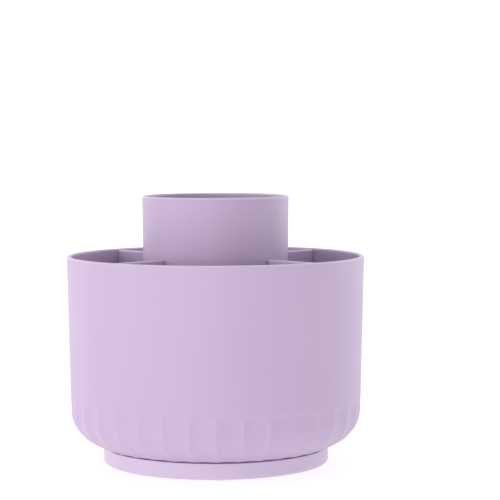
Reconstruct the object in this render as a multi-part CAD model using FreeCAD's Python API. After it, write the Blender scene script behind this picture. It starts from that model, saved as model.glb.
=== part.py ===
"""Rotating desk organizer: a round fluted tub with a raised centre cup and four divider panels.

The tub turns on a ring of balls that runs in a low dish base.
Units are millimetres. Z is up along the turning axis, z = 0 is the desk, and -Y is the front.
"""

import FreeCAD
import Part
import math
import os

# ---------------------------------------------------------------- driving dimensions
RIM_RADIUS = 64.0  # outside radius of the tub at its rim
RIM_HEIGHT = 90.3  # desk to the tub's rim
CUP_HEIGHT = 116.0  # desk to the top of the centre cup
CUP_RADIUS = 31.5  # outside radius of the centre cup at its top
BASE_RADIUS = 48.5
BASE_HEIGHT = 6.9  # visible side of the base
FOOT_PROUD = 1.2  # how far the pads hold the base off the desk
GAP = 0.8  # between the tub's underside and the base's top edge

# ---------------------------------------------------------------- tub
TUB_DRAFT = math.tan(math.radians(1.3))
TUB_WALL = 2.0
TUB_FLOOR = 2.0
TUB_BOTTOM = FOOT_PROUD + BASE_HEIGHT + GAP
TUB_INSIDE = TUB_BOTTOM + TUB_FLOOR
CORNER_RADIUS = 15.3  # outside of the rounded foot of the tub
FOOT_SLOPE = math.radians(23.5)  # of the shallow cone between the rounding and the flat underside
FLAT_RADIUS = 50.2  # of the flat underside
EDGE_RADIUS = 0.8  # rim edges
PILOT_RADIUS = 14.0  # centre hole in the tub's floor

# flutes of the lower band
FLUTES = 35
FLUTE_DEPTH = 0.78  # at the middle of a flute
FLUTE_RADIUS = 30.0  # of the hollow, across the flute
FLUTE_HALF_WIDTH = 8.0  # of the cutter, wider than the flute so that neighbours meet in a ridge
FLUTE_REACH = 3.0  # how far the cutter stands out of the tub
FLUTE_RISE = 2.2  # straight part of the hollow, above the tub's rounded foot
RUNOUT_RADIUS = 10.0  # how the hollow leaves the wall at its top
RUNOUT_ANGLE = 35.0  # of the sweep that makes it, in degrees
FLUTE_EXIT = math.radians(6.5)  # how much steeper than the cone the hollow leaves at its foot
FLUTE_TAIL = 10.0  # length of the straight run in which it leaves

# ---------------------------------------------------------------- centre cup and dividers
CUP_DRAFT = math.tan(math.radians(0.6))
CUP_WALL = 1.8
CUP_SKIRT = 4.5  # height of the hollow foot under the cup's floor
CUP_FLOOR = 2.0
CUP_FILLET = 4.0
PANEL = 2.0  # divider thickness
PANEL_PLAY = 0.3  # between a divider and the tub's wall
PANEL_LIFT = 0.1  # of a divider off the tub's floor
PANEL_DROP = 0.5  # divider's level top below the rim
PANEL_TOP_EDGE = 0.7  # rounding along the divider's top
PANEL_ANGLES = {"front_right": -45, "back_right": 45, "back_left": 135, "front_left": 225}
RAIL = 1.2  # thickness of the ribs that hold a divider
RAIL_DEPTH = 2.4
RAIL_SLOT = 2.2
RAIL_TOP = RIM_HEIGHT - 3.0
RAIL_ROOT = 0.5  # how far a rib reaches into the wall it stands on
FLOOR_RAIL_HEIGHT = 3.0
FLOOR_RAIL_EDGE = 1.5  # rounding of a floor rib's ends
FLOOR_RAIL_END = 44.4  # distance of its outer end from the axis

# ---------------------------------------------------------------- base and bearing
BASE_FLOOR = 2.4
BASE_WALL = 2.5
BASE_FOOT_EDGE = 1.3  # rounding of the base's lower edge
INNER_FILLET = 0.6
SMALL_EDGE = 0.4  # softened edge of a moulded part
FINE_EDGE = 0.2
BASE_FLOOR_TOP = FOOT_PROUD + BASE_FLOOR
BASE_TOP = FOOT_PROUD + BASE_HEIGHT
TRACK_RADIUS = 36.0
BALL_RADIUS = 2.0
BALLS = 16
BALL_PLAY = 0.08  # between a ball and its track
TRACK_GAP = 2.0  # between the base's floor and the swivel plate
BALL_Z = BASE_FLOOR_TOP + TRACK_GAP / 2
CAGE_WIDTH = 5.6
CAGE_THICK = 1.2
POCKET_PLAY = 0.15  # between a ball and its pocket in the cage
PLATE_RADIUS = 44.6
PLATE_BOTTOM = BASE_FLOOR_TOP + TRACK_GAP

# pivot
SPIGOT_RADIUS = 5.0
SPIGOT_END = 4.7
HUB_RADIUS = 11.8
HUB_UNDER = 5.2  # underside of the hub's web
HUB_TOP = 7.5
BUSH_RADIUS = 7.0
RUNNING = 0.05  # radial clearance of the spigot in its bush
WELL_RADIUS = 10.0  # recess under the hub for the pivot screw
HUB_CLEARANCE = 0.4
WASHER_THICK = 1.0
THRUST_BORE_PLAY = 0.2
WASHER_RADIUS = 9.2
WASHER_BORE = 2.1
CAP_DEPTH = 1.6
CAP_SKIN = 0.7
CAP_RIM = 1.0
BOSS_TOP = 11.7  # pilot boss of the swivel plate
BOSS_PLAY = 0.2

# screws
SCREW_CIRCLE = 22.0
SCREW_RADIUS = 1.5
SCREW_LENGTH = 8.2
SCREW_HEAD = 2.9
SCREW_CLEAR = 0.1
SCREW_PILOT = 0.9  # how far a screw's hole runs on into the cup's floor
HEAD_HEIGHT = 1.6
HEAD_SEAT = PLATE_BOTTOM + 1.8
WELL_PLAY = 0.2
BOSS_RADIUS = 3.6
PIVOT_HOLE = 1.7
PIVOT_HEAD = 4.2
PIVOT_LENGTH = 7.0
THREAD_ROOT = 0.78  # of the screw's radius
THREAD_PITCH = 0.75  # of the screw's radius
PLAIN_NECK = 0.6  # shank without thread under the head
DRIVE_WIDTH = 0.7  # arm of the cross drive
ABOVE_ALL_HOLES = 20.0  # cutters for holes end here

# feet
FOOT_RADIUS = 4.5
FOOT_CIRCLE = 41.5
FOOT_RECESS = 0.8
FOOT_PLAY = 0.1
FOOT_EDGE = 0.5
FOOT_ANGLES = {"front": -90, "right": 0, "back": 90, "left": 180}

UP = FreeCAD.Vector(0, 0, 1)
ORIGIN = FreeCAD.Vector(0, 0, 0)


def point(r, z):
    """A point of a profile, which lies in the XZ plane."""
    return FreeCAD.Vector(r, 0, z)


def profile(corners):
    """Closed face in the XZ plane. Each corner is (r, z) or (r, z, radius of its rounding)."""
    count = len(corners)
    ends = []
    for i, corner in enumerate(corners):
        here = point(corner[0], corner[1])
        radius = corner[2] if len(corner) > 2 else 0
        if not radius:
            ends.append((here, None, here))
            continue
        before = corners[i - 1]
        after = corners[(i + 1) % count]
        back = (point(before[0], before[1]) - here).normalize()
        ahead = (point(after[0], after[1]) - here).normalize()
        half = back.getAngle(ahead) / 2
        reach = radius / math.tan(half)
        middle = (back + ahead).normalize() * (radius / math.sin(half) - radius)
        ends.append((here + back * reach, here + middle, here + ahead * reach))
    edges = []
    for i, (start, middle, end) in enumerate(ends):
        if middle is not None:
            edges.append(Part.Arc(start, middle, end).toShape())
        following = ends[(i + 1) % count][0]
        if end.distanceToPoint(following) > 1e-6:
            edges.append(Part.LineSegment(end, following).toShape())
    return Part.Face(Part.Wire(edges))


def turned(corners):
    """Solid of revolution about the Z axis."""
    return profile(corners).revolve(ORIGIN, UP, 360)


def spun(shape, degrees):
    """A copy of the shape turned about the Z axis."""
    copy = shape.copy()
    copy.rotate(ORIGIN, UP, degrees)
    return copy


def ring_of(shape, count, first=0.0):
    """Copies of the shape, evenly spaced about the Z axis."""
    return [spun(shape, first + 360.0 * i / count) for i in range(count)]


def rod(radius, z0, z1, r=0.0):
    """Upright cylinder from z0 to z1 at distance r along +X."""
    return Part.makeCylinder(radius, z1 - z0, FreeCAD.Vector(r, 0, z0))


def slab(corners, thickness, offset=0.0):
    """Upright plate: a profile made thick across Y, its middle at offset."""
    face = profile(corners)
    face.translate(FreeCAD.Vector(0, offset - thickness / 2, 0))
    return face.extrude(FreeCAD.Vector(0, thickness, 0))


def tub_radius(z):
    """Outside radius of the tub's drafted wall."""
    return RIM_RADIUS - (RIM_HEIGHT - z) * TUB_DRAFT


def cup_radius(z):
    """Outside radius of the centre cup's drafted wall."""
    return CUP_RADIUS - (CUP_HEIGHT - z) * CUP_DRAFT


def sloping_corner(inset):
    """Where the foot's cone and the drafted wall would meet, both moved in by inset."""
    slope = math.tan(FOOT_SLOPE)
    wall_foot = tub_radius(0) - inset
    cone = TUB_BOTTOM + inset / math.cos(FOOT_SLOPE) - FLAT_RADIUS * slope
    z = (cone + wall_foot * slope) / (1 - TUB_DRAFT * slope)
    return tub_radius(z) - inset, z, CORNER_RADIUS - inset


def flat_corner(inset, z):
    """Where the foot's cone, moved in by inset, comes down to the level z."""
    fall = TUB_BOTTOM + inset / math.cos(FOOT_SLOPE) - z
    return FLAT_RADIUS - fall / math.tan(FOOT_SLOPE), z


# ---------------------------------------------------------------- the turning tub
def tub_corners():
    inner = RIM_RADIUS - TUB_WALL
    return [
        (PILOT_RADIUS, TUB_BOTTOM),
        (FLAT_RADIUS, TUB_BOTTOM),
        sloping_corner(0),
        (RIM_RADIUS, RIM_HEIGHT, EDGE_RADIUS),
        (inner, RIM_HEIGHT, EDGE_RADIUS),
        sloping_corner(TUB_WALL),
        flat_corner(TUB_WALL, TUB_INSIDE),
        (PILOT_RADIUS, TUB_INSIDE),
    ]


def flute_cutters():
    """Bodies that hollow one flute: round the tub's foot, out of the wall above, and out of the cone."""
    draft = math.atan(TUB_DRAFT)
    outward = FreeCAD.Vector(math.cos(draft), 0, -math.sin(draft))
    along = FreeCAD.Vector(math.sin(draft), 0, math.cos(draft))
    across = FreeCAD.Vector(0, 1, 0)
    bend = math.pi / 2 - draft - FOOT_SLOPE
    corner_r, corner_z, _ = sloping_corner(0)
    start = point(corner_r, corner_z) + along * CORNER_RADIUS * math.tan(bend / 2)
    foot_centre = start - outward * CORNER_RADIUS
    bottom = start - outward * FLUTE_DEPTH
    sag = FLUTE_RADIUS - math.sqrt(FLUTE_RADIUS**2 - FLUTE_HALF_WIDTH**2)
    side = FreeCAD.Vector(0, FLUTE_HALF_WIDTH, 0)
    left = bottom + outward * sag - side
    right = bottom + outward * sag + side
    section = Part.Face(
        Part.Wire(
            [
                Part.Arc(left, bottom, right).toShape(),
                Part.LineSegment(right, right + outward * FLUTE_REACH).toShape(),
                Part.LineSegment(
                    right + outward * FLUTE_REACH, left + outward * FLUTE_REACH
                ).toShape(),
                Part.LineSegment(left + outward * FLUTE_REACH, left).toShape(),
            ]
        )
    )
    sweep = math.degrees(bend - FLUTE_EXIT)
    foot = section.revolve(foot_centre, across, sweep)
    straight = section.extrude(along * FLUTE_RISE)
    upper = section.translated(along * FLUTE_RISE)
    runout_centre = bottom + along * FLUTE_RISE + outward * RUNOUT_RADIUS
    runout = upper.revolve(runout_centre, across, RUNOUT_ANGLE)
    last = section.copy()
    last.rotate(foot_centre, across, sweep)
    leaving = FOOT_SLOPE + FLUTE_EXIT
    tail = last.extrude(point(-math.cos(leaving), -math.sin(leaving)) * FLUTE_TAIL)
    return foot, straight, runout, tail


def outer_tub():
    """One sector is cut to shape, repeated round the axis with a ridge in front, and sewn into a shell."""
    step = 360.0 / FLUTES
    sector = profile(tub_corners()).revolve(ORIGIN, UP, step)
    sector.rotate(ORIGIN, UP, -step / 2)
    for cutter in flute_cutters():
        sector = sector.cut(cutter)
    faces = []
    for face in sector.Faces:
        centre = face.CenterOfMass
        side = abs(math.degrees(math.atan2(centre.y, centre.x)))
        if side < step / 2 - 0.01:
            faces.append(face)
    first = FOOT_ANGLES["front"] + step / 2
    skin = [spun(face, first + step * i) for i in range(FLUTES) for face in faces]
    shell = Part.makeCompound(skin)
    shell.sewShape(0.001)
    tub = Part.Solid(shell.Shells[0])
    if tub.Volume < 0:
        tub.reverse()
    return tub.cut(screw_holes(SCREW_RADIUS + SCREW_CLEAR, ABOVE_ALL_HOLES)).fuse(floor_rails())


def rail_pairs(corners):
    """A rib of the given profile on each side of every divider."""
    offset = (RAIL_SLOT + RAIL) / 2
    pair = [slab(corners, RAIL, offset), slab(corners, RAIL, -offset)]
    return [spun(rail, angle) for rail in pair for angle in PANEL_ANGLES.values()]


def floor_rails():
    """Low ribs on the tub's floor, which hold the feet of the dividers."""
    inner = CUP_RADIUS + RAIL_DEPTH + FLOOR_RAIL_EDGE
    root = TUB_INSIDE - RAIL_ROOT
    top = TUB_INSIDE + FLOOR_RAIL_HEIGHT
    return rail_pairs(
        [
            (inner, root),
            (FLOOR_RAIL_END, root),
            (FLOOR_RAIL_END, top, FLOOR_RAIL_EDGE),
            (inner, top, FLOOR_RAIL_EDGE),
        ]
    )


def screw_holes(radius, top):
    """Cutters for the four upright screws, from below the part up to the given height."""
    return ring_of(rod(radius, 0, top, SCREW_CIRCLE), 4)


def centre_cup():
    """Drafted cup on a hollow foot, with ribs up its side for the dividers and bosses for screws."""
    floor_z = TUB_INSIDE + CUP_SKIRT
    inside = cup_radius(floor_z + CUP_FLOOR) - CUP_WALL
    cup = turned(
        [
            (0, floor_z),
            (cup_radius(floor_z) - CUP_WALL, floor_z),
            (cup_radius(TUB_INSIDE) - CUP_WALL, TUB_INSIDE),
            (cup_radius(TUB_INSIDE), TUB_INSIDE),
            (CUP_RADIUS, CUP_HEIGHT, EDGE_RADIUS),
            (CUP_RADIUS - CUP_WALL, CUP_HEIGHT, EDGE_RADIUS),
            (inside, floor_z + CUP_FLOOR, CUP_FILLET),
            (0, floor_z + CUP_FLOOR),
        ]
    )
    rails = rail_pairs(
        [
            (cup_radius(TUB_INSIDE) - RAIL_ROOT, TUB_INSIDE),
            (cup_radius(TUB_INSIDE) + RAIL_DEPTH, TUB_INSIDE),
            (cup_radius(RAIL_TOP) + RAIL_DEPTH, RAIL_TOP - RAIL_DEPTH, EDGE_RADIUS),
            (cup_radius(RAIL_TOP) - RAIL_ROOT, RAIL_TOP),
        ]
    )
    bosses = ring_of(rod(BOSS_RADIUS, TUB_INSIDE, floor_z + CUP_FLOOR / 2, SCREW_CIRCLE), 4)
    cup = cup.fuse(rails + bosses)
    return cup.cut(screw_holes(SCREW_RADIUS + RUNNING, floor_z + SCREW_PILOT)).removeSplitter()


def divider(angle):
    """Upright panel from the cup to the tub's wall, level with the rim but for a little."""
    top = RIM_HEIGHT - PANEL_DROP
    foot = TUB_INSIDE + PANEL_LIFT
    wall = TUB_WALL + PANEL_PLAY
    panel = slab(
        [
            (cup_radius(foot) + PANEL_PLAY, foot),
            flat_corner(wall, foot),
            sloping_corner(wall),
            (tub_radius(top) - wall, top, EDGE_RADIUS),
            (cup_radius(top) + PANEL_PLAY, top, EDGE_RADIUS),
        ],
        PANEL,
    )
    level = [edge for edge in panel.Edges if is_level_edge(edge, top)]
    return spun(panel.makeFillet(PANEL_TOP_EDGE, level), angle)


def is_level_edge(edge, height):
    """True for a long edge that lies all along at the given height."""
    box = edge.BoundBox
    return box.XLength > PANEL and box.ZMin > height - SMALL_EDGE / 10 and box.ZLength < SMALL_EDGE / 10


def swivel_plate():
    """Upper track of the bearing, with the boss that centres the tub and the spigot it turns on."""
    ceiling = HUB_TOP + HUB_CLEARANCE
    recess = HUB_RADIUS + 2 * HUB_CLEARANCE
    boss = PILOT_RADIUS - BOSS_PLAY
    plate = turned(
        [
            (PIVOT_HOLE, SPIGOT_END),
            (SPIGOT_RADIUS, SPIGOT_END, FINE_EDGE),
            (SPIGOT_RADIUS, ceiling),
            (recess, ceiling),
            (recess, PLATE_BOTTOM, SMALL_EDGE),
            (PLATE_RADIUS, PLATE_BOTTOM, SMALL_EDGE),
            (PLATE_RADIUS, TUB_BOTTOM),
            (boss, TUB_BOTTOM),
            (boss, BOSS_TOP, SMALL_EDGE),
            (PIVOT_HOLE, BOSS_TOP),
        ]
    )
    holes = screw_holes(SCREW_RADIUS + SCREW_CLEAR, ABOVE_ALL_HOLES)
    wells = screw_holes(SCREW_HEAD + WELL_PLAY, HEAD_SEAT)
    return plate.cut([ball_track()] + holes + wells)


def ball_track():
    """Cutter for the groove that the balls run in, with its circle at the balls' centres."""
    return Part.makeTorus(TRACK_RADIUS, BALL_RADIUS + BALL_PLAY, FreeCAD.Vector(0, 0, BALL_Z))


def cross_recess(size, depth, z):
    """Cutter for a cross drive in a head whose face is at z and which is driven from below."""
    corner = FreeCAD.Vector(-size / 2, -DRIVE_WIDTH / 2, z)
    arm = Part.makeBox(size, DRIVE_WIDTH, depth, corner)
    return arm.fuse(spun(arm, 90))


def tapping_screw(radius, length, head_radius, seat):
    """Screw pointing up: a domed head under the seat, ridges for a thread, and a point."""
    root = radius * THREAD_ROOT
    pitch = radius * THREAD_PITCH
    low = seat - HEAD_HEIGHT
    dome = HEAD_HEIGHT * 0.6
    neck = seat + PLAIN_NECK
    corners = [(0, low), (head_radius, low, dome), (head_radius, seat), (radius, seat), (radius, neck)]
    ridges = int((length - PLAIN_NECK - radius) / pitch)
    for i in range(ridges):
        corners.append((root, neck + pitch * (i + 0.5)))
        corners.append((radius, neck + pitch * (i + 1)))
    corners.append((root, neck + pitch * (ridges + 0.5)))
    corners.append((0, seat + length))
    return turned(corners).cut(cross_recess(head_radius, dome, low))


def swivel_screws():
    """Four screws that draw the swivel plate, the tub and the centre cup together."""
    screw = tapping_screw(SCREW_RADIUS, SCREW_LENGTH, SCREW_HEAD, HEAD_SEAT)
    screw.translate(FreeCAD.Vector(SCREW_CIRCLE, 0, 0))
    return Part.makeCompound(ring_of(screw, 4))


def pivot_screw():
    """Screw in the spigot's end, which keeps the tub from lifting off the base."""
    return tapping_screw(PIVOT_HOLE - RUNNING, PIVOT_LENGTH, PIVOT_HEAD, SPIGOT_END - WASHER_THICK)


def ring(bore, radius, low, high, edge=0):
    """Flat ring with the two outer edges rounded."""
    return turned([(bore, low), (radius, low, edge), (radius, high, edge), (bore, high)])


def pivot_washer():
    """Steel washer under the hub, clamped to the spigot's end."""
    return ring(WASHER_BORE, WASHER_RADIUS, SPIGOT_END - WASHER_THICK, SPIGOT_END, FINE_EDGE)


# ---------------------------------------------------------------- the rolling cage
def ball_retainer():
    """Flat ring with a pocket for each ball."""
    inner = TRACK_RADIUS - CAGE_WIDTH / 2
    outer = TRACK_RADIUS + CAGE_WIDTH / 2
    low = BALL_Z - CAGE_THICK / 2
    cage = ring(inner, outer, low, low + CAGE_THICK, FINE_EDGE)
    pocket = rod(BALL_RADIUS + POCKET_PLAY, 0, ABOVE_ALL_HOLES, TRACK_RADIUS)
    return cage.cut(ring_of(pocket, BALLS))


def bearing_balls():
    """The balls that carry the tub, in one ring."""
    ball = Part.makeSphere(BALL_RADIUS, FreeCAD.Vector(TRACK_RADIUS, 0, BALL_Z))
    return Part.makeCompound(ring_of(ball, BALLS))


# ---------------------------------------------------------------- the base
def base_dish():
    """Low dish with the lower ball track, a raised hub and pockets for the pads."""
    inner = BASE_RADIUS - BASE_WALL
    dish = turned(
        [
            (BUSH_RADIUS, HUB_UNDER),
            (WELL_RADIUS, HUB_UNDER),
            (WELL_RADIUS, FOOT_PROUD, FINE_EDGE),
            (BASE_RADIUS, FOOT_PROUD, BASE_FOOT_EDGE),
            (BASE_RADIUS, BASE_TOP, FINE_EDGE),
            (inner, BASE_TOP, SMALL_EDGE),
            (inner, BASE_FLOOR_TOP, INNER_FILLET),
            (HUB_RADIUS, BASE_FLOOR_TOP, INNER_FILLET),
            (HUB_RADIUS, HUB_TOP, SMALL_EDGE),
            (BUSH_RADIUS, HUB_TOP),
        ]
    )
    pocket = rod(FOOT_RADIUS + FOOT_PLAY, 0, FOOT_PROUD + FOOT_RECESS, FOOT_CIRCLE)
    return dish.cut([ball_track()] + ring_of(pocket, 4))


def pivot_bush():
    """Plain bearing in the hub for the spigot."""
    return ring(SPIGOT_RADIUS + RUNNING, BUSH_RADIUS, HUB_UNDER, HUB_TOP)


def thrust_washer():
    """Slippery washer between the hub and the turning steel washer."""
    bore = SPIGOT_RADIUS + THRUST_BORE_PLAY
    return ring(bore, WASHER_RADIUS, SPIGOT_END + RUNNING, HUB_UNDER - RUNNING)


def pivot_cap():
    """Shallow plug that closes the well under the pivot screw."""
    radius = WELL_RADIUS - RUNNING
    top = FOOT_PROUD + CAP_DEPTH
    skin = FOOT_PROUD + CAP_SKIN
    return turned(
        [
            (0, FOOT_PROUD),
            (radius, FOOT_PROUD, FINE_EDGE),
            (radius, top),
            (radius - CAP_RIM, top),
            (radius - CAP_RIM, skin),
            (0, skin),
        ]
    )


def foot_pad(angle):
    """Round pad, stuck in its pocket, with a softened lower edge."""
    top = FOOT_PROUD + FOOT_RECESS
    pad = turned([(0, 0), (FOOT_RADIUS, 0, FOOT_EDGE), (FOOT_RADIUS, top), (0, top)])
    pad.translate(FreeCAD.Vector(FOOT_CIRCLE, 0, 0))
    return spun(pad, angle)


def main():
    os.makedirs("parts", exist_ok=True)
    nodes = {
        "outer_tub": outer_tub(),
        "centre_cup": centre_cup(),
        "swivel_plate": swivel_plate(),
        "swivel_screws": swivel_screws(),
        "pivot_screw": pivot_screw(),
        "pivot_washer": pivot_washer(),
        "ball_retainer": ball_retainer(),
        "bearing_balls": bearing_balls(),
        "base_dish": base_dish(),
        "pivot_bush": pivot_bush(),
        "thrust_washer": thrust_washer(),
        "pivot_cap": pivot_cap(),
    }
    for place, angle in PANEL_ANGLES.items():
        nodes["divider_" + place] = divider(angle)
    for place, angle in FOOT_ANGLES.items():
        nodes["foot_pad_" + place] = foot_pad(angle)
    for name, shape in sorted(nodes.items()):
        shape.exportStep("parts/" + name + ".step")
        print(name, "solids", len(shape.Solids), "valid", shape.isValid(), "mm3", round(shape.Volume, 1))


main()
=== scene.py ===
"""Looks of the rotating desk organizer: fluted lavender tub, raised centre cup, dividers and a low base.

Lengths in the text are millimetres, and MM turns them into the frame's metres. The Z axis is the turning
axis, z = 0 is the desk and -Y is the front.
"""

import math

import bpy
import numpy as np
from mathutils import Euler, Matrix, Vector


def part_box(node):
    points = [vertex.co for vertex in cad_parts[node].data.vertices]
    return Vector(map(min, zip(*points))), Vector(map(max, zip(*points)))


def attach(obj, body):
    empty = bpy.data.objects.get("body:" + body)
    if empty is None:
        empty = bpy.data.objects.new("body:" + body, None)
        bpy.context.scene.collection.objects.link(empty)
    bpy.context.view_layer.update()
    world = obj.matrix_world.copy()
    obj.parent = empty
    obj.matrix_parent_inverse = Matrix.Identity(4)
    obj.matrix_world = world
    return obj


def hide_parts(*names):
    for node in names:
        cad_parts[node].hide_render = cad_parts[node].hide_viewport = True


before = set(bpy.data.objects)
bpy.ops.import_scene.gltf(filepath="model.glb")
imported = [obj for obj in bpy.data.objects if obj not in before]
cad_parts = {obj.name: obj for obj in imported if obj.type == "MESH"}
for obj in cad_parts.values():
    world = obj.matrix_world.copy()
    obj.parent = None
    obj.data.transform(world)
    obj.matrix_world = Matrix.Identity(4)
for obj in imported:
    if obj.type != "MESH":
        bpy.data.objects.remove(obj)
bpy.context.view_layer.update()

MM = 0.001

# ---------------------------------------------------------------- sizes
tub_low, tub_high = (np.array(corner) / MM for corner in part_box("outer_tub"))
DRAFT = math.radians(1.3)
EDGE = 0.8  # rounding of the rim
WALL = 2.0
CORNER = 15.3  # outside radius of the tub's rounded foot
SLOPE = math.radians(23.5)  # of the shallow cone between that rounding and the flat underside
FLAT_R = 50.2  # radius of the flat underside
PILOT = 14.0  # radius of the hole in the tub's floor
RIM_Z = tub_high[2]
TUB_Z = tub_low[2]
RIM_R = tub_high[0] + EDGE * math.tan(DRAFT)

FLUTES = 35
FLUTE_DEPTH = 0.78
FLUTE_HOLLOW = 30.0  # radius across a flute
RISE = 2.2  # straight part of a flute, above the rounded foot
RUN_OUT = 10.0  # radius in which a flute leaves the wall at its top
EXIT = math.radians(6.5)  # how much steeper than the cone a flute leaves at its foot
RIDGE_SOFTNESS = 0.22  # how round the ridge between two flutes is
BLEND = 0.1  # softening where a flute's hollow meets the plain wall
FLUTED_WALL = 7.0  # stretch of wall above the rounded foot that gets closer rows
RIDGE_RUB_HIGHLIGHT_WIDTH = 0.35  # of the rubbed line along each ridge, whose paler tone is partly a painted highlight
EDGE_RUB_HIGHLIGHT_DEPTH = 0.9  # how far the rubbed edge at the top of a piece reaches down; its paler tone is partly a painted highlight
NO_RUB_HIGHLIGHT_TOP = 1.0  # metres, above every piece: the top of a piece whose edge gets neither rub nor painted highlight

# ---------------------------------------------------------------- finishes
LAVENDER = np.array([0.514, 0.391, 0.578])
# Pale tone of rubbed edges and ridges: partly wear, partly a painted highlight on the rim and ridges
LAVENDER_RUB_HIGHLIGHT = np.array([0.66, 0.56, 0.70])
LAVENDER_DRIFT = 0.015  # share by which the tone drifts each way
BASE_PAINTED_LIGHTER = 0.5  # painted light: how far the base's tone lies from the tub's towards the pale highlight tone, so that the base is painted lighter than the tub, as if lit from the floor
LAVENDER_GLOSS = 0.42
PLASTIC_IOR = 1.49
GLOSS_DRIFT = 0.05  # how far the plastic's roughness drifts each way
RUB_POLISH = 0.1  # how much smoother a fully rubbed edge is
RIDGE_RUB_HIGHLIGHT = 0.12  # how rubbed a ridge is, against a rim; the paler tone there is partly a painted highlight
RUB_HIGHLIGHT_PATCHES = (0.55, 1.25)  # least and most rub, with its painted highlight, from patch to patch
DULLING = 0.82  # darkest tone of a metal, as a share of its lightest
METAL_GRAIN = 900.0
METAL_DRIFT = 400.0
FLOOR_GREYS = (0.39, 0.41)
FLOOR_GLOW = 0.72


# ---------------------------------------------------------------- surfaces
def surface(name, grid, close_rows=False, rub_and_highlight=None):
    """Mesh of a grid of points, shape (rows, columns, 3), in millimetres.

    Point (i, j) is joined to (i + 1, j) and (i, j + 1). Columns always close into a ring, and rows close
    too if close_rows is set. A first or last row that lies on the Z axis becomes a single point. The
    array rub_and_highlight, shape (rows, columns), goes into the mesh as the attribute of that name; it
    marks rubbed ridges, whose paler tone is partly a painted highlight.
    """
    rows, columns = grid.shape[:2]
    index = np.arange(rows * columns).reshape(rows, columns)
    points = grid.reshape(-1, 3)
    on_axis = np.hypot(grid[..., 0], grid[..., 1]).max(axis=1) < 1e-6
    for row in (0, rows - 1):
        if on_axis[row] and not close_rows:
            index[row] = index[row, 0]
    lower = index if close_rows else index[:-1]
    upper = np.roll(index, -1, axis=0) if close_rows else index[1:]
    quads = np.stack(
        [lower, np.roll(lower, -1, axis=1), np.roll(upper, -1, axis=1), upper], axis=-1
    ).reshape(-1, 4)
    used, compact = np.unique(quads, return_inverse=True)
    quads = compact.reshape(-1, 4)
    points = points[used] * MM
    repeated = quads == np.roll(quads, -1, axis=1)
    corners = ~repeated
    mesh = bpy.data.meshes.new(name)
    mesh.vertices.add(len(points))
    mesh.vertices.foreach_set("co", points.astype(np.float32).ravel())
    loops = quads[corners]
    sizes = corners.sum(axis=1)
    mesh.loops.add(len(loops))
    mesh.loops.foreach_set("vertex_index", loops.astype(np.int32))
    mesh.polygons.add(len(quads))
    mesh.polygons.foreach_set("loop_start", (np.cumsum(sizes) - sizes).astype(np.int32))
    mesh.polygons.foreach_set("use_smooth", np.ones(len(quads), bool))
    if rub_and_highlight is not None:
        values = rub_and_highlight.ravel()[used].astype(np.float32)
        mesh.attributes.new("rub_and_highlight", "FLOAT", "POINT").data.foreach_set("value", values)
    mesh.update(calc_edges=True)
    mesh.validate()
    piece = bpy.data.objects.new(name, mesh)
    bpy.context.scene.collection.objects.link(piece)
    return piece


def arc(centre, radius, start, end, steps):
    """Points at centre + radius (cos a, sin a), as the angle a goes evenly from start to end, in degrees."""
    a = np.radians(np.linspace(start, end, steps + 1))
    return np.stack([centre[0] + radius * np.cos(a), centre[1] + radius * np.sin(a)], axis=-1)


def run(start, end, steps, support=0.25):
    """Points of a straight run without its ends, with one close to each end to keep the shading flat."""
    start, end = np.array(start, float), np.array(end, float)
    length = np.linalg.norm(end - start)
    share = np.linspace(0, 1, steps + 1)[1:-1]
    close = min(support / length, 0.5 / (steps + 1))
    share = np.concatenate([[close], share, [1 - close]])
    return start + share[:, None] * (end - start)


# ---------------------------------------------------------------- outer tub
def tub_radius(z):
    """Outside radius of the tub's leaning wall: the rim's radius less the fall times the draft."""
    return RIM_R - (RIM_Z - z) * math.tan(DRAFT)


OUTWARD = np.array([math.cos(DRAFT), -math.sin(DRAFT)])
ALONG = np.array([math.sin(DRAFT), math.cos(DRAFT)])


def foot_line(inset):
    """End of the flat, end of the cone and start of the wall, for a skin moved in by inset.

    The cone and the wall meet in a corner, and a rounding of the corner radius less the inset touches
    both. The centre of that rounding comes last.
    """
    wall_foot = tub_radius(0) - inset
    level = TUB_Z + inset
    cone = TUB_Z + inset / math.cos(SLOPE) - FLAT_R * math.tan(SLOPE)
    z = (cone + wall_foot * math.tan(SLOPE)) / (1 - math.tan(DRAFT) * math.tan(SLOPE))
    corner = np.array([tub_radius(z) - inset, z])
    reach = (CORNER - inset) * math.tan((math.pi / 2 - DRAFT - SLOPE) / 2)
    flat_end = np.array([(level - cone) / math.tan(SLOPE), level])
    cone_end = corner - np.array([math.cos(SLOPE), math.sin(SLOPE)]) * reach
    wall_start = corner + ALONG * reach
    return flat_end, cone_end, wall_start, wall_start - OUTWARD * (CORNER - inset)


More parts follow.
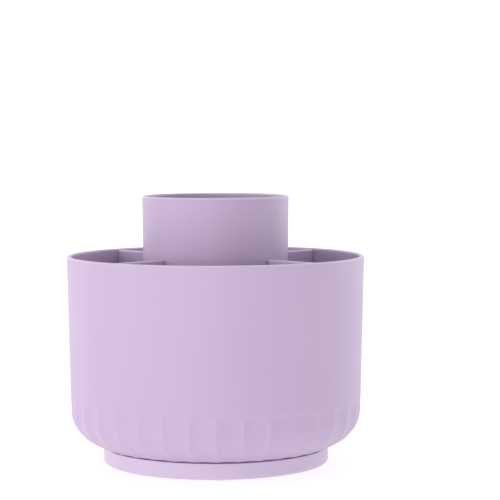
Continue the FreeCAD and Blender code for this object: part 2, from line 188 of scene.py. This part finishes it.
def tub_profile():
    """Closed outline (radius, height) of the plain tub: from the hole out, up outside, and back inside."""
    lean = math.degrees(DRAFT)
    steep = math.degrees(SLOPE) - 90
    flat_end, cone_end, _, centre = foot_line(0)
    inner_flat_end, inner_cone_end, _, inner_centre = foot_line(WALL)
    rim_outer = np.array([RIM_R - EDGE * (1 + math.tan(DRAFT)), RIM_Z - EDGE])
    rim_inner = np.array([RIM_R - WALL + EDGE, RIM_Z - EDGE])
    outside = arc(centre, CORNER, steep, -lean, 40)
    rim = arc(rim_outer, EDGE, -lean, 90, 8)
    lip = arc(rim_inner, EDGE, 90, 180 - lean, 8)
    inside = arc(inner_centre, CORNER - WALL, -lean, steep, 20)
    flute_top = outside[-1] + ALONG * FLUTED_WALL
    return np.concatenate(
        [
            run((PILOT, TUB_Z), flat_end, 4),
            [flat_end],
            run(flat_end, cone_end, 10),
            outside,
            run(outside[-1], flute_top, 20),
            run(flute_top, rim[0], 7),
            rim,
            lip,
            run(lip[-1], inside[0], 7),
            inside,
            run(inner_cone_end, inner_flat_end, 3),
            [inner_flat_end],
            run(inner_flat_end, (PILOT, TUB_Z + WALL), 4),
            [(PILOT, TUB_Z + WALL), (PILOT, TUB_Z)],
        ]
    )


def soft_min(a, b, width):
    """The smaller of a and b, with the corner between them rounded over the given width."""
    mix = np.clip(0.5 + 0.5 * (b - a) / width, 0, 1)
    return b + (a - b) * mix - width * mix * (1 - mix)


def flute_columns():
    """Angles of the columns, crowded towards the ridges: ridge at 0, middle of a flute at half a step."""
    step = math.tau / FLUTES
    half = np.array([0, 0.012, 0.03, 0.06, 0.105, 0.17, 0.26, 0.37, 0.5])
    share = np.concatenate([half, 1 - half[-2:0:-1]])
    return (np.arange(FLUTES)[:, None] * step + share * step).ravel()


def outer_tub():
    """The plain outline turned about the axis, then hollowed by the flutes.

    Across one flute, y is the sideways distance from its middle and the hollow stands
    R - sqrt(R^2 - y^2) further out than at the middle. Round the foot, a point keeps its direction from
    the rounding's centre, and its distance becomes the smaller of its own and radius - depth + hollow.
    Under the rounding the same limit holds for the distance from a straight line, a little steeper than
    the cone, so that the flute fades out at the cone's lower end, and above the rounding for the
    distance from a line along the wall. Further up, a point keeps its direction from a centre outside
    the wall, and its distance becomes the larger of its own and run-out radius - hollow. The rub along the
    ridges, whose paler tone is partly a painted highlight, is the square of the flute's share of its full
    depth at that height, times exp(-(way to the ridge / width)^2).
    """
    profile = tub_profile()
    angle = flute_columns()
    step = math.tau / FLUTES
    off_middle = (angle % step) - step / 2
    r = profile[:, 0][:, None] * np.ones_like(angle)
    z = profile[:, 1][:, None] * np.ones_like(angle)
    x = r * np.cos(off_middle)
    y = r * np.sin(off_middle)
    ridge = r * math.sin(step / 2)
    eased = ridge - np.hypot(ridge - np.abs(y), RIDGE_SOFTNESS)
    hollow = FLUTE_HOLLOW - np.sqrt(FLUTE_HOLLOW**2 - eased**2)
    limit = CORNER - FLUTE_DEPTH + hollow
    outside = np.arange(len(profile))[:, None] < np.argmax(profile[:, 1]) - 3

    _, _, start, centre = foot_line(0)
    dx, dz = x - centre[0], z - centre[1]
    above = (x - start[0]) * ALONG[0] + (z - start[1]) * ALONG[1]
    leaving = SLOPE + EXIT
    past = -dx * math.cos(leaving) - dz * math.sin(leaving)
    clear = dx * math.sin(leaving) - dz * math.cos(leaving)

    distance = np.hypot(dx, dz)
    off_wall = dx * OUTWARD[0] + dz * OUTWARD[1]
    foot = outside & (above <= 0) & (past < 0)
    scale = np.where(foot, soft_min(distance, limit, BLEND) / distance, 1)
    tail = np.where(outside & (above <= 0) & (past >= 0), soft_min(clear, limit, BLEND) - clear, 0)
    rise = outside & (above > 0) & (above <= RISE)
    wall = np.where(rise, soft_min(off_wall, limit, BLEND) - off_wall, 0)
    foot_x = centre[0] + dx * scale + tail * math.sin(leaving) + wall * OUTWARD[0]
    foot_z = centre[1] + dz * scale - tail * math.cos(leaving) + wall * OUTWARD[1]

    pivot = start + ALONG * RISE + OUTWARD * (RUN_OUT - FLUTE_DEPTH)
    px, pz = x - pivot[0], z - pivot[1]
    reach = np.hypot(px, pz)
    run_out = outside & (above > RISE) & (above < RISE + RUN_OUT / 2)
    scale = np.where(run_out, -soft_min(-reach, hollow - RUN_OUT, BLEND) / reach, 1)
    x = np.where(run_out, pivot[0] + px * scale, foot_x)
    z = np.where(run_out, pivot[1] + pz * scale, foot_z)

    depth = np.hypot(x - r * np.cos(off_middle), z - profile[:, 1][:, None]).max(axis=1) / FLUTE_DEPTH
    # Rubbed ridges; the paler tone this drives is partly a painted highlight along each ridge
    rub_and_highlight = depth[:, None] ** 2 * np.exp(-(((ridge - np.abs(y)) / RIDGE_RUB_HIGHLIGHT_WIDTH) ** 2))

    flat = np.hypot(x, y)
    turned = angle - off_middle + np.arctan2(y, x) - math.pi / 2
    grid = np.stack([flat * np.cos(turned), flat * np.sin(turned), z], axis=-1)
    return surface("outer_tub_shell", grid, close_rows=True, rub_and_highlight=rub_and_highlight)


# ---------------------------------------------------------------- materials
def new_group(name, inputs, outputs):
    """Empty shader node group with named sockets: (name, socket type, value) in and (name, type) out."""
    tree = bpy.data.node_groups.new(name, "ShaderNodeTree")
    for label, kind, value in inputs:
        socket = tree.interface.new_socket(label, in_out="INPUT", socket_type=kind)
        if value is not None:
            socket.default_value = value
    for label, kind in outputs:
        tree.interface.new_socket(label, in_out="OUTPUT", socket_type=kind)
    return tree, tree.nodes.new("NodeGroupInput"), tree.nodes.new("NodeGroupOutput")


def add(tree, kind, **settings):
    """A new node with the given properties."""
    node = tree.nodes.new(kind)
    for key, value in settings.items():
        setattr(node, key, value)
    return node


def noise(tree, vector, scale, detail=2.0, roughness=0.5):
    """Noise texture read at a vector socket."""
    node = add(tree, "ShaderNodeTexNoise")
    node.inputs["Detail"].default_value = detail
    node.inputs["Roughness"].default_value = roughness
    if isinstance(scale, (int, float)):
        node.inputs["Scale"].default_value = scale
    else:
        tree.links.new(scale, node.inputs["Scale"])
    tree.links.new(vector, node.inputs["Vector"])
    return node


def moulded_grain_group():
    """Fine spark-eroded mould texture: Height for a bump, and Mask, the cloudy drift of its gloss."""
    tree, enter, leave = new_group(
        "moulded_grain",
        [
            ("Position", "NodeSocketVector", None),
            ("Grain Scale", "NodeSocketFloat", 2200.0),
            ("Drift Scale", "NodeSocketFloat", 28.0),
        ],
        [("Height", "NodeSocketFloat"), ("Mask", "NodeSocketFloat")],
    )
    grain = noise(tree, enter.outputs["Position"], enter.outputs["Grain Scale"], 3.0, 0.55)
    drift = noise(tree, enter.outputs["Position"], enter.outputs["Drift Scale"], 2.0, 0.5)
    tree.links.new(grain.outputs["Fac"], leave.inputs["Height"])
    tree.links.new(drift.outputs["Fac"], leave.inputs["Mask"])
    return tree


def rub_and_highlight_group():
    """Mask of the rubbed edges, in patches: the last Depth below the height Top, and the Ridges; its pale
    tone is partly a painted highlight.
    """
    tree, enter, leave = new_group(
        "rub_and_highlight_edge",
        [
            ("Position", "NodeSocketVector", None),
            ("Top", "NodeSocketFloat", 0.1),
            ("Depth", "NodeSocketFloat", EDGE_RUB_HIGHLIGHT_DEPTH * MM),
            ("Ridge", "NodeSocketFloat", 0.0),
        ],
        [("Mask", "NodeSocketFloat")],
    )
    split = add(tree, "ShaderNodeSeparateXYZ")
    below = add(tree, "ShaderNodeMath", operation="SUBTRACT")
    fade = add(tree, "ShaderNodeMapRange", interpolation_type="SMOOTHSTEP")
    either = add(tree, "ShaderNodeMath", operation="MAXIMUM")
    patchy = add(tree, "ShaderNodeMath", operation="MULTIPLY")
    patches = noise(tree, enter.outputs["Position"], 130.0, 4.0, 0.6)
    tree.links.new(enter.outputs["Position"], split.inputs["Vector"])
    tree.links.new(enter.outputs["Top"], below.inputs[0])
    tree.links.new(split.outputs["Z"], below.inputs[1])
    tree.links.new(below.outputs["Value"], fade.inputs["Value"])
    tree.links.new(enter.outputs["Depth"], fade.inputs["From Min"])
    fade.inputs["From Max"].default_value = 0.0
    tree.links.new(fade.outputs["Result"], either.inputs[0])
    tree.links.new(enter.outputs["Ridge"], either.inputs[1])
    tree.links.new(either.outputs["Value"], patchy.inputs[0])
    tree.links.new(ramp(tree, patches.outputs["Fac"], *RUB_HIGHLIGHT_PATCHES), patchy.inputs[1])
    tree.links.new(patchy.outputs["Value"], leave.inputs["Mask"])
    return tree


def shader(name):
    """New material: its tree, its Principled shader and the object coordinates of its piece."""
    material = bpy.data.materials.new(name)
    material.use_nodes = True
    tree = material.node_tree
    principled = tree.nodes["Principled BSDF"]
    position = tree.nodes.new("ShaderNodeTexCoord").outputs["Object"]
    return material, tree, principled, position


def ramp(tree, value, low, high):
    """Maps 0..1 to low..high."""
    node = add(tree, "ShaderNodeMapRange")
    node.inputs["To Min"].default_value = low
    node.inputs["To Max"].default_value = high
    tree.links.new(value, node.inputs["Value"])
    return node.outputs["Result"]


def mix_colours(tree, factor, first, second):
    """Goes from first, a colour or a socket, to the colour second as the factor goes from 0 to 1."""
    node = add(tree, "ShaderNodeMix", data_type="RGBA")
    if isinstance(first, tuple):
        node.inputs["A"].default_value = (*first, 1)
    else:
        tree.links.new(first, node.inputs["A"])
    node.inputs["B"].default_value = (*second, 1)
    tree.links.new(factor, node.inputs["Factor"])
    return node.outputs["Result"]


def bump(tree, height, strength, distance):
    """Bump of the given height socket, with distance in millimetres."""
    node = add(tree, "ShaderNodeBump")
    node.inputs["Strength"].default_value = strength
    node.inputs["Distance"].default_value = distance * MM
    tree.links.new(height, node.inputs["Height"])
    return node.outputs["Normal"]


def moulded_plastic(name, top, light, dark, rub_highlight_tone, gloss, grain_scale=1700.0, depth=0.035):
    """Satin injection-moulded plastic: two close tones that drift, a fine grain and an uneven gloss.

    It is smoother where hands rub the ridges and the edge at the height top, in metres, and paler there:
    partly wear, partly a painted highlight.
    """
    material, tree, principled, position = shader(name)
    grain = add(tree, "ShaderNodeGroup", node_tree=GRAIN)
    grain.inputs["Grain Scale"].default_value = grain_scale
    tree.links.new(position, grain.inputs["Position"])
    wear_and_highlight = add(tree, "ShaderNodeGroup", node_tree=RUB_AND_HIGHLIGHT_TREE)
    wear_and_highlight.inputs["Top"].default_value = top
    tree.links.new(position, wear_and_highlight.inputs["Position"])
    ridges = add(tree, "ShaderNodeAttribute", attribute_name="rub_and_highlight").outputs["Fac"]
    tree.links.new(ramp(tree, ridges, 0.0, RIDGE_RUB_HIGHLIGHT), wear_and_highlight.inputs["Ridge"])
    drift = grain.outputs["Mask"]
    plain = mix_colours(tree, drift, light, dark)
    # Painted highlight: rubbed edges and ridges turn to the pale tone, partly wear and partly light caught
    # on the edges
    colour = mix_colours(tree, wear_and_highlight.outputs["Mask"], plain, rub_highlight_tone)
    tree.links.new(colour, principled.inputs["Base Color"])
    smoothed = add(tree, "ShaderNodeMath", operation="MULTIPLY_ADD")
    smoothed.inputs[1].default_value = -RUB_POLISH
    tree.links.new(wear_and_highlight.outputs["Mask"], smoothed.inputs[0])
    tree.links.new(ramp(tree, drift, gloss - GLOSS_DRIFT, gloss + GLOSS_DRIFT), smoothed.inputs[2])
    tree.links.new(smoothed.outputs["Value"], principled.inputs["Roughness"])
    tree.links.new(bump(tree, grain.outputs["Height"], 0.5, depth), principled.inputs["Normal"])
    principled.inputs["IOR"].default_value = PLASTIC_IOR
    return material


def metal(name, colour, gloss):
    """Bare or plated metal with faint cloudy patches of tone and gloss, and a fine grain."""
    material, tree, principled, position = shader(name)
    group = add(tree, "ShaderNodeGroup", node_tree=GRAIN)
    group.inputs["Grain Scale"].default_value = METAL_GRAIN
    group.inputs["Drift Scale"].default_value = METAL_DRIFT
    tree.links.new(position, group.inputs["Position"])
    patches = group.outputs["Mask"]
    dull = tuple(DULLING * c for c in colour)
    tree.links.new(mix_colours(tree, patches, colour, dull), principled.inputs["Base Color"])
    tree.links.new(ramp(tree, patches, gloss * 0.7, gloss * 1.4), principled.inputs["Roughness"])
    tree.links.new(bump(tree, group.outputs["Height"], 0.2, 0.01), principled.inputs["Normal"])
    principled.inputs["Metallic"].default_value = 1.0
    return material


def top_of(node):
    """Height of the top of a node, in metres."""
    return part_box(node)[1][2]


def lavender_plastic(name, top, paler=0.0):
    """Lavender plastic whose tone goes from the tub's, at paler 0, to the pale tone of the rubbed edges and
    painted highlights, at 1; between, it is painted lighter.
    """
    tone = LAVENDER + (LAVENDER_RUB_HIGHLIGHT - LAVENDER) * paler
    light, dark = tuple((1 + LAVENDER_DRIFT) * tone), tuple((1 - LAVENDER_DRIFT) * tone)
    return moulded_plastic(name, top, light, dark, tuple(LAVENDER_RUB_HIGHLIGHT), LAVENDER_GLOSS)


def white_plastic(name):
    """Off-white slippery plastic of the bearing."""
    return moulded_plastic(
        name, NO_RUB_HIGHLIGHT_TOP, (0.84, 0.84, 0.81), (0.80, 0.80, 0.77), (0.88, 0.88, 0.86), 0.3, 1500.0, 0.01
    )


GRAIN = moulded_grain_group()
RUB_AND_HIGHLIGHT_TREE = rub_and_highlight_group()
DIVIDER = lavender_plastic("lavender_divider", top_of("divider_front_left"))
WHITE = white_plastic("white_bearing_plastic")
STEEL = metal("bearing_steel", (0.62, 0.62, 0.64), 0.12)
ZINC = metal("zinc_plated_steel", (0.56, 0.57, 0.60), 0.32)
PAD = moulded_plastic(
    "soft_pad", NO_RUB_HIGHLIGHT_TOP, (0.93, 0.91, 0.95), (0.90, 0.88, 0.93), (0.93, 0.91, 0.95), 0.6, 1400.0, 0.06
)
FINISHES = {
    "outer_tub": lavender_plastic("lavender_tub", top_of("outer_tub")),
    "centre_cup": lavender_plastic("lavender_cup", top_of("centre_cup")),
    "divider_front_right": DIVIDER,
    "divider_back_right": DIVIDER,
    "divider_back_left": DIVIDER,
    "divider_front_left": DIVIDER,
    # Painted light: the base is painted paler than the tub, as if lit from the floor below it
    "base_dish": lavender_plastic("lavender_base", NO_RUB_HIGHLIGHT_TOP, BASE_PAINTED_LIGHTER),
    "pivot_cap": lavender_plastic("lavender_cap", NO_RUB_HIGHLIGHT_TOP),
    "swivel_plate": WHITE,
    "ball_retainer": WHITE,
    "pivot_bush": WHITE,
    "thrust_washer": WHITE,
    "bearing_balls": STEEL,
    "swivel_screws": ZINC,
    "pivot_screw": ZINC,
    "pivot_washer": ZINC,
    "foot_pad_front": PAD,
    "foot_pad_right": PAD,
    "foot_pad_back": PAD,
    "foot_pad_left": PAD,
}


def finish_cad_nodes():
    """Every node of the frame takes its own finish."""
    for name, finish in FINISHES.items():
        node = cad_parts[name]
        node.data.materials.clear()
        node.data.materials.append(finish)


def finish_piece(piece, body, node):
    """A new piece takes its node's finish and slot, rides on its body and stands for the node."""
    piece.data.materials.append(FINISHES[node])
    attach(piece, body)
    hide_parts(node)


# ---------------------------------------------------------------- studio
def studio_sweep():
    """Round floor that curls up into a low wall: a profile of radius and height turned about Z."""
    floor_r, curl = 2200.0, 600.0
    bend = arc((floor_r, curl), curl, -90, 0, 24)
    profile = np.concatenate([[(0, 0)], run((0, 0), bend[0], 6), bend, [(floor_r + curl, curl * 1.6)]])
    a = np.linspace(0, math.tau, 96, endpoint=False)
    r, z = profile[:, 0][:, None], profile[:, 1][:, None]
    grid = np.stack([r * np.cos(a), r * np.sin(a), z + 0 * a], axis=-1)[::-1]
    sweep = surface("studio_sweep", grid)
    material, tree, principled, position = shader("studio_white")
    cloud = noise(tree, position, 3.0)
    tree.links.new(
        mix_colours(tree, cloud.outputs["Fac"], *((grey, grey, grey) for grey in FLOOR_GREYS)),
        principled.inputs["Base Color"],
    )
    principled.inputs["Roughness"].default_value = 0.9
    principled.inputs["Emission Color"].default_value = (1, 1, 1, 1)
    principled.inputs["Emission Strength"].default_value = FLOOR_GLOW
    sweep.data.materials.append(material)


def soft_light(name, place, target, width, height, power):
    """Rectangular light at a place in metres, facing a target."""
    data = bpy.data.lights.new(name, "AREA")
    data.shape = "RECTANGLE"
    data.size = width
    data.size_y = height
    data.energy = power
    light = bpy.data.objects.new(name, data)
    light.location = place
    aim = Vector(target) - Vector(place)
    light.rotation_euler = aim.to_track_quat("-Z", "Y").to_euler()
    bpy.context.scene.collection.objects.link(light)


def studio_lights():
    """Bright even surroundings, a soft key from the left, light from above, and a whitened back."""
    world = bpy.data.worlds.new("studio_surroundings")
    world.use_nodes = True
    background = world.node_tree.nodes["Background"]
    background.inputs["Color"].default_value = (1.0, 1.0, 1.0, 1)
    background.inputs["Strength"].default_value = 0.525
    bpy.context.scene.world = world
    middle = (0, 0, RIM_Z * MM / 2)
    soft_light("key_left", (-1.4, -0.6, 0.35), middle, 0.9, 0.9, 5.6)
    soft_light("edge_left", (-1.3, 1.0, 0.5), middle, 0.8, 0.9, 3.0)
    soft_light("edge_right", (1.3, 1.0, 0.5), middle, 0.8, 0.9, 4.0)
    soft_light("above", (0.0, 0.1, 1.7), middle, 1.8, 1.8, 8.0)
    soft_light("front_low", (-0.5, -1.5, 0.16), (0, 0, 0.02), 1.2, 0.28, 3.5)
    soft_light("backdrop", (0.0, 0.9, 1.5), (0, 2.6, 0.2), 2.4, 1.0, 14.0)


def camera():
    """Long lens a little above the rim, turned a touch to the right so that the organizer sits left."""
    distance, height = 0.8062, 0.1458  # metres from the axis and above the desk
    tilt, roll, turn = 90 - 3.79, 0.09, -1.061  # degrees
    data = bpy.data.cameras.new("camera")
    data.lens = 134.85
    data.sensor_width = 36.0
    view = bpy.data.objects.new("camera", data)
    view.location = (0, -distance, height)
    view.rotation_euler = Euler((math.radians(tilt), math.radians(roll), math.radians(turn)))
    bpy.context.scene.collection.objects.link(view)
    bpy.context.scene.camera = view


finish_cad_nodes()
finish_piece(outer_tub(), "turntable", "outer_tub")
studio_sweep()
studio_lights()
camera()
bpy.context.scene.view_settings.view_transform = "Standard"
